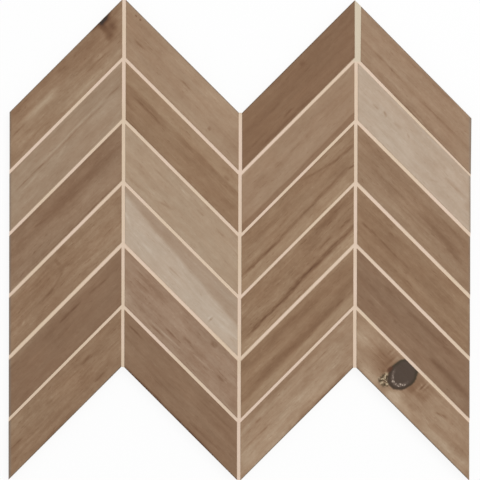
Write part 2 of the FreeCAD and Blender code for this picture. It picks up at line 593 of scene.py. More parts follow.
# %% Marks that were really in the plank
TAPER_FROM_TO = (0.3, 1.08)

mark_group, wires, given, result = new_group(
    "plank_mark",
    {"Grain": "vector", "Ragged": "number", "U": "number", "V": "number", "Reach": "number",
     "Width": "number", "Depth": "number", "Tilt": "number", "Bend": "number"},
    {"Tone": "number"})
place_u, place_v, _ = wires.split(given["Grain"])
off_u = wires.less(place_u, given["U"])
share_u = wires.maths("DIVIDE", off_u, given["Reach"])
slant = wires.times(off_u, given["Tilt"])
bow = wires.times(share_u, share_u, given["Bend"])
off_v = wires.less(wires.less(place_v, given["V"]), wires.total(slant, bow))
share_v = wires.maths("DIVIDE", off_v, given["Width"])
tapered = wires.ease(wires.size(share_u), *TAPER_FROM_TO, 1.0, 0.0)
fading = wires.maths("EXPONENT", wires.times(share_v, share_v, -1.0))
wires.feed(result["Tone"], wires.times(tapered, fading, given["Ragged"], given["Depth"]))

side_group, wires, given, result = new_group(
    "plank_side",
    {"Grain": "vector", "V": "number", "Tilt": "number", "Soft": "number", "Depth": "number"},
    {"Tone": "number"})
place_u, place_v, _ = wires.split(given["Grain"])
line_v = wires.total(given["V"], wires.times(place_u, given["Tilt"]))
past = wires.maths("DIVIDE", wires.less(place_v, line_v), given["Soft"])
wires.feed(result["Tone"], wires.times(wires.ease(past, -1.0, 1.0), given["Depth"]))


def streak(u, v, reach, width, depth, tilt=0.0, bend=0.0):
    """A spindle-shaped mark: its middle, half its length and width, and its depth of tone."""
    return mark_group, dict(U=u, V=v, Reach=reach, Width=width, Depth=depth, Tilt=tilt, Bend=bend)


def below(v, depth, tilt=0.0, soft=1.5):
    """A change of tone below a line across the chip."""
    return side_group, dict(V=v, Tilt=tilt, Soft=soft, Depth=depth)


def above(v, depth, tilt=0.0, soft=1.5):
    """A change of tone above a line across the chip."""
    return side_group, dict(V=v, Tilt=tilt, Soft=-soft, Depth=depth)


print("mark groups:", mark_group.name, "and", side_group.name)

# %% [markdown]
# ## The knot
# One chip shows a knot: the foot of a branch, cut through. It is nearly black, with a browner rim,
# a broken pale ring inside its lower half, a small red-brown spot on its rim and a small star of
# checks beside it. It could be painted as a picture, but numbers keep it sharp at any distance. So
# it is measured as a radius in an ellipse, roughened with noise, where 1 is the rim. The star is
# measured as an angle about its own middle. Its rays are where the sine of several times that angle
# is high, and noise breaks them up. The group returns these numbers, and the material below turns
# them into colours.

# %% The knot
KNOT_U, KNOT_V = -17.9, -6.6
KNOT_HALF_U, KNOT_HALF_V = 11.0, 14.4
COARSE_PER_MM, COARSE_SWING = (0.12, 0.12, 1.0), 0.22
ROUGH_PER_MM, ROUGH_SWING = (0.5, 0.5, 2.0), 0.1
RING_AT, RING_FROM_TO = 0.68, (0.02, 0.12)
LOW_FROM_TO = (0.0, 0.45)
BEADS_PER_MM, BEAD_FROM_TO = (0.6, 0.6, 4.0), (0.52, 0.66)
BEADS_FADE_FROM_TO, BEADS_LEFT = (-0.45, -0.1), 0.22
RED_U, RED_V = -28.6, -1.7
RED_HALF_U, RED_HALF_V = 2.1, 3.9
RED_FROM_TO = (0.4, 1.1)
STAR_U, STAR_V, STAR_REACH_MM, STAR_RAYS = -24.9, 7.2, 7.2, 5.0
TURNS_PER_MM, TURN_SWING = (0.4, 0.4, 6.0), 2.2
RAYS_PER_MM, RAY_SWING = (0.7, 0.7, 7.0), 4.5
ENDS_PER_MM, END_SWING = (0.35, 0.35, 8.0), 3.0


def off_centre(wires, grain, u, v, half_u=1.0, half_v=1.0):
    """How far a place is from a centre along, across and in all, with two half sizes as units."""
    moved = wires.vector("SUBTRACT", grain, (u, v, 0.0))
    share_u, share_v, _ = wires.split(wires.vector("DIVIDE", moved, (half_u, half_v, 1.0)))
    return share_u, share_v, wires.vector("LENGTH", wires.join(share_u, share_v, 0.0))


knot_group, wires, given, result = new_group(
    "knot", {"Grain": "vector"},
    {"Radius": "number", "Ring": "number", "Beads": "number", "Star": "number", "Rays": "number",
     "Low": "number", "Red": "number"})
grain = given["Grain"]
share_u, share_v, even = off_centre(wires, grain, KNOT_U, KNOT_V, KNOT_HALF_U, KNOT_HALF_V)
coarse = wires.swing(wires.noise(grain, COARSE_PER_MM, 1.0), COARSE_SWING)
rough = wires.swing(wires.noise(grain, ROUGH_PER_MM), ROUGH_SWING)
radius = wires.total(even, coarse, rough)
low_half = wires.ease(share_v, *LOW_FROM_TO)
off_ring = wires.size(wires.less(radius, RING_AT))
ring = wires.times(wires.ease(off_ring, *RING_FROM_TO, 1.0, 0.0), low_half)
beads = wires.ease(wires.noise(grain, BEADS_PER_MM, 1.0), *BEAD_FROM_TO)
beads = wires.times(beads, wires.ease(share_u, *BEADS_FADE_FROM_TO, BEADS_LEFT, 1.0))
wires.feed(result["Radius"], radius)
wires.feed(result["Ring"], ring)
wires.feed(result["Beads"], wires.times(ring, beads))
wires.feed(result["Low"], low_half)
print("knot is", 2 * KNOT_HALF_U, "mm wide")

# %% The knot's red spot and its star
_, _, from_red = off_centre(wires, grain, RED_U, RED_V, RED_HALF_U, RED_HALF_V)
wires.feed(result["Red"], wires.ease(wires.total(from_red, rough), *RED_FROM_TO, 1.0, 0.0))
star_u, star_v, reach = off_centre(wires, grain, STAR_U, STAR_V)
turn = wires.maths("ARCTAN2", star_v, star_u)
turn = wires.total(turn, wires.swing(wires.noise(grain, TURNS_PER_MM), TURN_SWING))
rays = wires.times(wires.maths("SINE", wires.times(turn, STAR_RAYS)), 0.5)
rays = wires.total(rays, wires.swing(wires.noise(grain, RAYS_PER_MM, 1.0), RAY_SWING))
reach = wires.total(reach, wires.swing(wires.noise(grain, ENDS_PER_MM, 1.0), END_SWING))
wires.feed(result["Star"], wires.ease(reach, STAR_REACH_MM * 0.5, STAR_REACH_MM, 1.0, 0.0))
wires.feed(result["Rays"], rays)
print("knot group:", len(knot_group.nodes), "nodes")

# %% [markdown]
# ## The tones of the print
# The maker prints one plank in many tones, and the sheet mixes them. Nine named tones are enough
# for the 24 chips, with a small step lighter or darker for some. They follow the mean colours of
# the chips, which were measured in the photograph. Darker wood is also redder wood,
# because its three colours fall off at different rates. So a tone is a power: each colour of the
# base is multiplied by its own number raised to the tone. The satin finish lays a thin grey veil of
# reflected room over the print, so the ink itself is a touch darker than the colour one sees.

# %% The tones of the print
SHEEN_VEIL = 0.017


def print_colour(red, green, blue):
    """The ink under the sheen that reads as this screen colour in the room's light."""
    return (*(max(0.0, part - SHEEN_VEIL) for part in linear(red, green, blue)[:3]), 1.0)


TONES = {
    "greige": print_colour(184, 164, 144),
    "pale_oak": print_colour(170, 146, 122),
    "grey_oak": print_colour(158, 134, 111),
    "honey_oak": print_colour(160, 133, 108),
    "rose_oak": print_colour(154, 127, 105),
    "mid_oak": print_colour(147, 119, 94),
    "warm_oak": print_colour(145, 116, 90),
    "dark_oak": print_colour(137, 109, 86),
    "umber": print_colour(132, 102, 77),
}
TONE_POWERS = (1.65, 2.01, 2.39)
TINT_RED = (1.03, 0.993, 0.972)
CHARRED, CHARRED_FROM_TO = print_colour(56, 48, 43), (-1.5, -2.8)
print("tones:", ", ".join(TONES))

# %% [markdown]
# ## The worn edges and their painted shade
# Along the joints the eased arrises of the chips keep a haze of cement, which makes a joint look
# a little wider than it is. The filler was wiped cleaner along some joints than along others, and the
# upright ones have the least of it. The sheet's own upper and lower edges saw no cement, and on their
# bevels a dark brown-grey is laid over the print as painted shade. Its left and right sides were sawn
# through, and a strip of grey is laid along them as painted shade. The edges could be faces with
# materials of their own, but then the print would stop at a hard line. So the shading asks which way
# the skin faces and how far the point is from the middle of its chip, and lays these colours over the
# print.

# %% The worn edges and their painted shade
# painted shade: the dark brown-grey laid on the bevels of the sheet's upper and lower edges
OPEN_EDGE_SHADE = print_colour(92, 79, 69)
CEMENT_HAZE = print_colour(226, 206, 180)
# painted shade: the grey strip laid along the sheet's sawn left and right ends
SAWN_END_SHADE = print_colour(126, 118, 110)
SLOPE_FROM_TO = (0.74, 0.97)
COLUMN_FROM_TO, COLUMN_HAZE = (0.04, 0.16), 0.12
OPEN_FROM_TO_MM, OPEN_SHADE_SHARE = (15.4, 15.8), 0.9
SAWN_IN_MM, SAWN_SHADE_SHARE = (3.03, 0.63), 0.6
SAWN_FROM_TO = [cad_high.x - inside * MM for inside in SAWN_IN_MM]


def edges_with_haze_and_shade(wires, colour, grain, open_side, row_hazes):
    """The print on the worn edges: cement haze along the joints, and painted shade on the open sides.
    """
    _, facing_y, facing_up = wires.split(wires.put("NewGeometry").outputs["Normal"])
    slope = wires.ease(facing_up, *SLOPE_FROM_TO, 1.0, 0.0)
    across = wires.split(grain)[1]
    row_haze = wires.ease(across, -1.0, 1.0, *row_hazes)
    haze = wires.ease(wires.size(facing_y), *COLUMN_FROM_TO, COLUMN_HAZE, row_haze)
    in_open = wires.ease(wires.times(across, open_side), *OPEN_FROM_TO_MM)
    # on the bevels of the upper and lower edges the cement haze gives way to painted shade
    edge = wires.mix(in_open, CEMENT_HAZE, OPEN_EDGE_SHADE)
    share = wires.times(slope, wires.ease(in_open, 0.0, 1.0, haze, OPEN_SHADE_SHARE))
    colour = wires.mix(share, colour, edge)
    from_middle = wires.size(wires.split(wires.put("TexCoord").outputs["Object"])[0])
    # painted shade: grey laid over the print towards the sheet's left and right ends
    return wires.mix(wires.ease(from_middle, *SAWN_FROM_TO, 0.0, SAWN_SHADE_SHARE), colour, SAWN_END_SHADE)


print("haze on the upright joints:", COLUMN_HAZE)

# %% [markdown]
# ## The knot's colours
# The knot's group gives numbers, and here each of them gets its colour: a brown halo above the
# knot, the pale and dark rays of the star, the rim, the ring with its pale beads, and the red-brown
# spot. One ramp over the radius would be shorter, but the ring lies only in the lower half, and the
# star and the spot have centres of their own. So the colours are laid one over another, as a
# painter would.

# %% The knot's colours
HALO, HALO_FROM_TO, HALO_SHARE = print_colour(137, 108, 84), (1.0, 1.5), 0.5
DARK_RAY, PALE_RAY, PALE_RAY_FROM_TO = print_colour(76, 64, 45), print_colour(190, 172, 143), (0.0, 0.9)
DRAWN_FROM_TO, DRAWN_LEAST = (0.15, 0.5), 0.35
UPPER_RIM, LOWER_RIM, RIM_FROM_TO = print_colour(63, 54, 42), print_colour(66, 53, 43), (0.7, 0.95)
HEARTWOOD = print_colour(77, 64, 55)
PALE_RING, RING_SHARE = print_colour(124, 108, 98), 0.5
BEAD, BEAD_SHARE = print_colour(214, 196, 178), 0.8
RED_BROWN, RED_SHARE = print_colour(86, 55, 40), 0.85
KNOT_EDGE_FROM_TO = (0.93, 1.09)


def knot_over(wires, colour, grain):
    """The knot's colours laid over the plain print."""
    knot = wires.call(knot_group, Grain=grain)
    halo = wires.ease(knot["Radius"], *HALO_FROM_TO, HALO_SHARE, 0.0)
    halo = wires.times(halo, wires.less(1.0, knot["Low"]))
    colour = wires.mix(halo, colour, HALO)
    ray_tone = wires.mix(wires.ease(knot["Rays"], *PALE_RAY_FROM_TO), DARK_RAY, PALE_RAY)
    drawn = wires.ease(wires.size(knot["Rays"]), *DRAWN_FROM_TO, DRAWN_LEAST, 1.0)
    colour = wires.mix(wires.times(knot["Star"], drawn), colour, ray_tone)
    rim = wires.mix(knot["Low"], UPPER_RIM, LOWER_RIM)
    dark = wires.mix(wires.ease(knot["Radius"], *RIM_FROM_TO), HEARTWOOD, rim)
    dark = wires.mix(wires.times(knot["Ring"], RING_SHARE), dark, PALE_RING)
    dark = wires.mix(wires.times(knot["Beads"], BEAD_SHARE), dark, BEAD)
    colour = wires.mix(wires.ease(knot["Radius"], *KNOT_EDGE_FROM_TO, 1.0, 0.0), colour, dark)
    return wires.mix(wires.times(knot["Red"], RED_SHARE), colour, RED_BROWN)


print("heart of the knot in linear light:", [round(part, 3) for part in HEARTWOOD[:3]])

# %% [markdown]
# ## The printed face
# One function makes the material of any chip's face, because the 24 differ only in their tone,
# their marks and their place. It asks where the point lies in the grain of its chip, adds up the
# tone of the figure and of the marks, raises the colours to it, and lays the worn edges over all.
# Narrow marks are made ragged along their length, so that they look like grain and not like paint.
# The print is satin, a little duller where it is dark, and a faint bump follows its fibres.

# %% The printed face
CHIP_APART = 31.0
SWAYS_PER_MM, SWAY_MM = (0.035, 0.05, 1.0), 2.4
RAGS_PER_MM, RAG_FROM_TO, RAG_LEAST_MOST = (0.11, 0.7, 3.0), (0.3, 0.66), (0.45, 1.25)
SMOOTH_MARK_MM = 2.4
SATIN_FROM_TO, SATIN_ROUGHNESS = (-1.0, 0.6), (0.68, 0.52)
PRINT_BUMP, PRINT_BUMP_MM = 0.5, 0.06
FIBRE_SHARE, SUNK_FROM_TO = 0.7, (-0.8, 0.2)


def grain_place(wires, corners, rising, seed):
    """The place on a chip's face in mm from its middle: U along the grain, V down across it."""
    middle = sum(corners, Vector((0.0, 0.0))) / 4
    spot = wires.put("TexCoord").outputs["Object"]
    turned = wires.put("Mapping")
    wires.feed(turned.inputs["Vector"], wires.vector("SUBTRACT", spot, (middle.x, middle.y, back_z)))
    turned.inputs["Rotation"].default_value = (0.0, 0.0, math.radians(45 if rising else -45))
    turned.inputs["Scale"].default_value = (1 / MM, -1 / MM, 1 / MM)
    return wires.vector("ADD", turned.outputs[0], (0.0, 0.0, seed * CHIP_APART))


def bumped(wires, shader, height, strength, depth_mm):
    """Lets a height from 0 to 1 tilt the shading, as a relief so deep."""
    bump = wires.put("Bump")
    bump.inputs["Strength"].default_value = strength
    bump.inputs["Distance"].default_value = depth_mm * MM
    wires.feed(bump.inputs["Height"], height)
    wires.feed(shader.inputs["Normal"], bump.outputs[0])


def total_tone(wires, figure, lively, marks, grain):
    """The tone of the figure and of a chip's marks together."""
    sway = wires.swing(wires.noise(grain, SWAYS_PER_MM), SWAY_MM)
    swayed = wires.vector("ADD", grain, wires.join(0.0, sway, 0.0))
    ragged = wires.ease(wires.noise(grain, RAGS_PER_MM), *RAG_FROM_TO, *RAG_LEAST_MOST)
    tone = wires.times(figure["Tone"], lively)
    for group, values in marks:
        inputs = {"Grain": swayed, **values}
        if group is mark_group:
            inputs["Ragged"] = ragged if values["Width"] < SMOOTH_MARK_MM else 1.0
        tone = wires.total(tone, wires.call(group, **inputs)["Tone"])
    return tone


def printed_oak(name, base, lively, marks, corners, rising, seed,
                open_side, row_hazes, knotted=False):
    """The printed face of one chip. Its open side is -1 for the upper edge and 1 for the lower."""
    material, wires, shader = new_material(name)
    grain = grain_place(wires, corners, rising, seed)
    figure = wires.call(oak_figure, Grain=grain)
    tone = total_tone(wires, figure, lively, marks, grain)
    powers = [wires.maths("POWER", number, tone) for number in TONE_POWERS]
    tinted = [wires.maths("POWER", number, figure["Tint"]) for number in TINT_RED]
    colour = wires.vector("MULTIPLY", base[:3], wires.join(*powers))
    colour = wires.vector("MULTIPLY", colour, wires.join(*tinted))
    colour = wires.mix(wires.ease(tone, *CHARRED_FROM_TO), colour, CHARRED)
    if knotted:
        colour = knot_over(wires, colour, grain)
    wires.feed(shader.inputs["Base Color"], edges_with_haze_and_shade(wires, colour, grain, open_side, row_hazes))
    wires.feed(shader.inputs["Roughness"], wires.ease(tone, *SATIN_FROM_TO, *SATIN_ROUGHNESS))
    shader.inputs["Specular IOR Level"].default_value = 0.35
    height = wires.total(wires.times(figure["Fibre"], FIBRE_SHARE), wires.ease(tone, *SUNK_FROM_TO))
    bumped(wires, shader, height, PRINT_BUMP, PRINT_BUMP_MM)
    return material


print("marks narrower than", SMOOTH_MARK_MM, "mm are ragged")

# %% [markdown]
# ## What each chip shows
# These lists began with a look at each chip, which wrote down what someone would point at: the
# streaks, the bands and the pale strips. Then the render was measured against the photograph, and
# where it was too dark or too pale, a mark was moved, deepened or added. A picture laid on
# each chip would take less work, but strokes like these stay sharp at any distance. Places are in
# mm. U runs from -82 to 82, from tip to tip along the grain, and V from -17 at the upper long edge
# to 17 at the lower one. A chip is one of the named tones, a small step up or down from it, how
# lively its figure is, and its marks.

# %% The first column, which climbs to the right
CHIPS = {}
CHIPS[1, 1] = ("mid_oak", 0.06, 1.15, [
    streak(-25, -14.5, 42, 3.2, -0.35), streak(-28, -2.5, 29, 2.8, 0.5), streak(-53, -1, 9, 0.8, -0.45),
    streak(-62, 3, 12, 3.5, 0.2), streak(-55, 8.5, 12, 1.2, 0.45), streak(20, 13, 50, 3.2, 0.4),
    streak(31, 5, 15, 0.8, -0.5), streak(7, -11.5, 6, 1.5, -0.35), streak(30, -4, 34, 5, -0.12),
    streak(57, -17.4, 15, 2.2, -2.0), streak(59, -15, 8, 3, -1.7), streak(55, -11, 3.5, 3, -0.7),
    streak(57.5, -6.6, 7.5, 4.6, -1.0), streak(53, -2.4, 5, 2.6, -0.65), streak(70, -14.5, 10, 4, -0.3),
    streak(26, -11, 32, 4, -0.22), streak(63, -8, 6, 3.2, -0.5), streak(6, -1, 9, 2.6, 0.34),
    streak(34, 2.2, 6, 2.5, 0.3)])
CHIPS[1, 2] = ("grey_oak", 0.02, 0.85, [
    streak(-35, -2.9, 24, 0.8, -0.55), streak(20, -3.2, 40, 0.8, -0.26),
    streak(60, -3.9, 11, 0.8, -0.45), streak(-40, 0.4, 14, 1.3, 0.35), streak(-10, -0.1, 20, 2, 0.18),
    streak(-50, 4.1, 13, 1, -0.22), streak(0, -5, 64, 1.2, 0.3), streak(44, 1, 24, 4, 0.13),
    streak(38, 11, 12, 4, -0.12)])
CHIPS[1, 3] = ("dark_oak", 0.04, 1.1, [
    streak(25, -5.4, 52, 3.4, -0.42), below(0.7, 0.24, soft=5), streak(-10, 15.9, 62, 1, -0.45),
    streak(52, -16.3, 24, 1.1, -0.4), streak(-24, -6.3, 7, 0.8, -0.35, tilt=0.2),
    streak(-40, -10.3, 30, 3, 0.22), streak(-10, 13.2, 62, 1.8, -0.18), streak(50, -11, 20, 3, -0.13)])
CHIPS[1, 4] = ("mid_oak", -0.03, 1.3, [
    streak(-10, -2, 30, 14, -0.2), streak(48, 0, 26, 13, 0.18), streak(-60, -4, 20, 10, 0.1),
    streak(-26, 4.3, 14, 0.9, -0.5, tilt=-0.04), streak(-8, 1.3, 9, 0.9, -0.45, tilt=-0.3),
    streak(0, -9.2, 2, 3, -0.35), streak(10, -14.7, 7, 3, -0.35),
    streak(-54, 5.8, 4, 1, 0.3, tilt=-0.5), streak(30, -0.2, 5, 1, 0.2), streak(46, 2.8, 6, 1, -0.25)])
CHIPS[1, 5] = ("dark_oak", -0.1, 0.85, [
    above(-12.6, 0.28, soft=2), streak(14, -8.8, 15, 0.9, -0.8), streak(-10, -8.8, 9, 0.9, -0.3),
    streak(47, -7.6, 13, 0.8, -0.45, tilt=0.06), streak(-50, -11.1, 7, 0.9, -0.3),
    streak(-60, 12.9, 10, 2, -0.2), streak(10, 1.9, 30, 4, -0.1)])
CHIPS[1, 6] = ("mid_oak", -0.08, 1.3, [
    streak(-44, -12, 12, 4, 0.45), streak(-57, 0.8, 9, 1.8, -0.6), streak(32, -8, 7, 1.3, -0.55),
    streak(31, 10.5, 9, 1.3, -0.65), streak(-16, -9, 6, 1.5, 0.3), streak(5, 11, 12, 1, 0.15),
    streak(11, 11, 12, 3.2, -0.3), streak(-14, -4, 5, 2.6, -0.34), streak(-8, -4, 8, 1, -0.3),
    streak(-20, 15.5, 25, 1, -0.35), streak(45, 4, 22, 5, 0.13), streak(-62, -10, 14, 4, 0.13),
    streak(-38, 2, 22, 4, -0.14), streak(45, 11.5, 24, 3.5, -0.14)])
print("first column:", sum(len(CHIPS[1, row][3]) for row in range(1, ROWS + 1)), "marks")

# %% The second column, which falls to the right
CHIPS[2, 1] = ("honey_oak", -0.04, 0.85, [
    streak(34, -4, 36, 14, 0.16), streak(-40, 2, 30, 12, -0.1), streak(10, -12.5, 60, 3, 0.16),
    streak(0, -1.5, 60, 1.6, -0.12), streak(5, 12.5, 60, 3, 0.14),
    streak(2, -2.4, 8, 0.8, -0.5, bend=1.4), streak(-48, 1.7, 8, 0.9, -0.45),
    streak(41, 9.9, 2.2, 2.2, -0.45), streak(-67, -13.1, 1.2, 0.8, -1.2),
    streak(-62.1, -13.2, 1, 0.7, -0.9), streak(59, 1.9, 12, 0.8, -0.22)])
CHIPS[2, 2] = ("warm_oak", -0.02, 1.0, [
    above(-6.1, 0.33, soft=1.2), streak(-39, -1.2, 23, 1.2, -0.65), streak(-41, -4.5, 26, 1.6, -0.3),
    streak(16, -4.2, 34, 2, -0.18), streak(44, -7.9, 4, 1.5, -0.4), streak(19, 13, 30, 2, 0.12),
    streak(46, 1, 24, 4.2, 0.2), streak(50, -12, 22, 3, -0.17), streak(70, 2, 7, 6, 0.2)])
CHIPS[2, 3] = ("pale_oak", 0.02, 0.75, [
    streak(-31, -7.6, 14, 0.8, -0.38), streak(13, -8.6, 5, 0.9, -0.38), streak(37, -8.6, 6, 1, -0.33),
    streak(-6, -11.1, 7, 0.9, 0.3), streak(-13, 7.9, 9, 0.9, -0.3, tilt=-0.3),
    streak(-41, 11.9, 9, 0.9, -0.25), streak(20, 6, 40, 6, 0.06), streak(-45, 0, 24, 4, -0.16)])
CHIPS[2, 4] = ("greige", 0.06, 0.65, [
    above(-5.6, -0.43, tilt=0.085, soft=2.0), streak(-40, -11, 30, 4, -0.2),
    # the pale spot at U 43.4 is a small nick, and the dark mark beside it at U 45.2 is its painted
    # shadow
    streak(66, -10, 12, 5, 0.18), streak(48, 6, 28, 8, 0.17), streak(43.4, 11.4, 1.3, 1.5, 0.25),
    streak(45.2, 11.2, 1.1, 2.2, -0.5), streak(-5, 4.7, 7, 1, -0.25), streak(-33, 6.7, 7, 0.9, 0.22),
    streak(-62, 0.7, 8, 1, 0.25, tilt=0.4)])
CHIPS[2, 5] = ("rose_oak", 0.0, 1.2, [
    streak(8, 0.7, 6, 0.9, -0.45), streak(-6, 6, 8, 1, -0.55), streak(49, 3.4, 5, 1.1, -0.45),
    streak(-5, 10, 24, 0.9, 0.45, tilt=-0.05), streak(26, -12, 4, 2, -0.55),
    streak(-50, -4.5, 11, 1.5, -0.35), streak(30, 4.5, 14, 0.9, 0.3, tilt=-0.04),
    streak(-14, 12.4, 14, 0.8, -0.45, tilt=-0.07), streak(-45, -11, 26, 4, -0.18),
    streak(44, -11, 24, 4, 0.18), streak(-58, 11, 16, 5, 0.32), streak(54, 11, 20, 4, 0.26),
    streak(22, 0, 10, 4, -0.15)])
CHIPS[2, 6] = ("dark_oak", 0.02, 0.9, [
    # the first mark, the dark line at V 16.9 along the lower edge, is painted shade along the sheet's
    # bottom edge
    streak(0, 16.9, 74, 1.5, -2.0), streak(-62, -10.4, 11, 0.8, -0.55),
    streak(30, -8.8, 22, 0.9, -0.35, tilt=-0.04), streak(40, 10.2, 22, 1.2, -0.4, tilt=-0.05),
    streak(-10, 5.2, 20, 1, -0.15), streak(-20, -3, 60, 6, 0.08)])
print("second column:", sum(len(CHIPS[2, row][3]) for row in range(1, ROWS + 1)), "marks")

# %% The third column, which climbs to the right
CHIPS[3, 1] = ("umber", -0.14, 0.8, [
    streak(-56, 8.5, 13, 1, -0.35), streak(-21, 10, 7, 1, -0.5), streak(59, 10.5, 10, 1, -0.3),
    streak(-26, -0.5, 9, 1, -0.3), streak(15, -10.5, 3, 1.5, -0.35), streak(-21, 14.5, 45, 1.4, -0.3)])
CHIPS[3, 2] = ("honey_oak", -0.14, 0.75, [
    below(12.5, -0.52, soft=0.9), streak(-21, -1.3, 4, 2, -0.2), streak(14, -1.8, 6, 1.5, -0.25),
    streak(-1, -1.8, 9, 0.8, -0.3), streak(-42, -3, 11, 3.5, -0.2), streak(48, -3, 22, 4, -0.16),
    streak(-11, 7.7, 40, 3, 0.15), streak(-58, 7, 18, 3.5, 0.15), streak(50, -11.5, 22, 3.5, -0.13)])
CHIPS[3, 3] = ("warm_oak", 0.03, 1.2, [
    streak(-46, 6.8, 30, 1.3, -0.85), streak(-1, 5.9, 32, 1, -0.55), streak(34, 4.9, 28, 1.1, -0.5),
    streak(56, 6.8, 5, 1, -0.7, tilt=0.3), streak(-59, 7.9, 2, 1.2, -0.5), below(7.9, 0.36, soft=1.4),
    streak(37, -9.3, 17, 0.9, -0.6, tilt=0.25), streak(59, -5.6, 13, 1, -0.6, tilt=0.06),
    streak(-51, 2.3, 11, 0.9, 0.28), streak(-21, -8.2, 34, 4, -0.22), streak(14, -12, 16, 3.5, -0.2),
    streak(56, -12.5, 16, 3, 0.24), streak(-48, 1, 24, 3, 0.15), streak(50, 0, 20, 3, -0.18),
    streak(8, 12, 9, 4, -0.2), streak(50, 12.5, 7, 4, -0.32)])
CHIPS[3, 4] = ("warm_oak", 0.0, 1.45, [
    streak(-45, 8, 26, 1.5, -1.2), streak(-16, 7.9, 18, 1.6, -0.9), streak(24, 6.6, 44, 1.35, -1.2),
    streak(27, -5.5, 11, 2.6, -0.28), below(9.4, 0.34, soft=1.4), streak(32, -0.3, 9, 1, -0.6),
    streak(55, -0.1, 8, 1, -0.8), streak(42, -12.5, 32, 4, -0.5), streak(-40, 11.5, 15, 1.4, -0.4),
    streak(0, -6, 66, 2.5, -0.1), streak(-52, 0, 22, 3.5, 0.18), streak(0, 3.6, 62, 1.4, 0.18),
    streak(-48, -9, 18, 4, 0.2), streak(36, 12.5, 28, 3, 0.22)])
CHIPS[3, 5] = ("warm_oak", 0.0, 1.1, [
    streak(-30, 4.7, 36, 3, -0.62), streak(22, 5.8, 38, 2.5, -0.5), below(9.0, 0.34, soft=1.4),
    streak(42, 7.4, 6, 0.9, -0.5), streak(0, -10.8, 32, 1.5, -0.25), streak(55, 1.2, 16, 3, -0.3),
    streak(-30, -1, 40, 1.8, 0.08), streak(0, -8, 64, 5, -0.22), streak(64, -10, 15, 5, -0.2),
    streak(5, 11, 28, 3, 0.18)])
CHIPS[3, 6] = ("honey_oak", 0.05, 1.2, [
    streak(-37, -8.2, 5, 0.9, -0.55), streak(30, -8.7, 17, 0.7, -0.35), streak(-45, 0.8, 22, 0.8, -0.4),
    streak(58, -7.7, 6, 1.2, -0.4), streak(12, 16, 54, 1.6, -0.85), streak(-50, 11, 34, 4, 0.34),
    streak(0, -14.5, 66, 2.5, -0.34), streak(-10, 6, 50, 4, 0.2), streak(56, 6, 20, 7, -0.16),
    streak(52, -11, 13, 4, -0.18), streak(14, 9.5, 22, 4, 0.16), streak(41, 11, 9, 3.2, -0.28),
    streak(-64, 9, 10, 6, 0.2)])
print("third column:", sum(len(CHIPS[3, row][3]) for row in range(1, ROWS + 1)), "marks")

# %% The fourth column, which falls to the right
CHIPS[4, 1] = ("honey_oak", -0.16, 0.95, [
    streak(7, -13.6, 60, 1.6, -0.25), streak(-28, 2.4, 22, 0.8, -0.4), streak(27, 3.4, 40, 0.9, -0.28),
    streak(17, 14.9, 45, 1.3, -0.4), streak(-43, 7.9, 12, 2.5, 0.1), streak(0, 12.8, 62, 1.8, -0.18),
    streak(0, 0, 60, 3, 0.1)])
CHIPS[4, 2] = ("greige", 0.0, 0.65, [
    streak(-46.5, -1.6, 4, 1, -0.5), streak(-36.5, -2.6, 3, 1, -0.55, tilt=0.4),
    streak(-22.5, -3.2, 5, 0.9, -0.35), streak(-10.5, -3.4, 3, 0.8, -0.4, tilt=0.4),
    streak(18, -0.6, 10, 3.2, -0.2), streak(25.5, -5.6, 8, 2, -0.2), streak(45.5, -0.6, 15, 1.5, -0.22),
    streak(30.5, 7.4, 4, 1, -0.22, tilt=-0.5), streak(-4.5, 5.4, 12, 3, 0.12),
    streak(-22, 11, 40, 3, 0.08), streak(10, -12, 60, 3.5, -0.13), streak(60, -8, 14, 6, -0.2),
    streak(68, 1, 8, 7, -0.3), streak(46, 12, 18, 3, -0.13)])
CHIPS[4, 3] = ("mid_oak", -0.02, 1.1, [
    streak(28, -0.6, 34, 3.2, -0.46, tilt=0.05), streak(50.7, 3.6, 13, 1.6, -0.45),
    streak(-19.3, 10.1, 38, 5, 0.25), streak(-29.3, -0.4, 26, 0.9, -0.4),
    streak(30.7, -9.9, 22, 0.9, -0.22), streak(-36, -11, 38, 4, -0.08), streak(38, 12, 30, 3.5, 0.19),
    streak(-58, -6, 20, 5, -0.18), streak(60, 12, 14, 4, 0.18), streak(0, -7.4, 60, 1.6, -0.14),
    streak(68, 0, 8, 5, -0.2)])
CHIPS[4, 4] = ("warm_oak", -0.03, 1.1, [
    streak(-51.1, 1.3, 10, 0.9, -0.75), streak(-22, 1.3, 24, 0.8, -0.5),
    streak(44, -9.5, 28, 3.5, 0.28), streak(-9.1, 10.9, 30, 2.4, -0.2), streak(-40, -10, 30, 5, -0.12),
    streak(-5, -1, 60, 4, -0.14), streak(10, 6.5, 50, 2.5, 0.14)])
CHIPS[4, 5] = ("dark_oak", -0.02, 0.95, [
    streak(50, 4.2, 29, 2.7, -0.55), streak(31, 4.9, 8, 1.3, -0.45), streak(-44, 2.7, 16, 0.7, 0.3),
    streak(-17, 3.7, 2.4, 0.9, -0.6), streak(-42, 6.7, 5, 1, -0.33), streak(-39, -11.3, 5, 1, -0.45),
    streak(11, -10.3, 44, 2.2, -0.34), streak(0, 2, 62, 2.2, -0.18), streak(42, 12.5, 26, 3.5, 0.18),
    streak(-35, 10.5, 32, 4, -0.14), streak(64, 12, 10, 4, 0.25)])
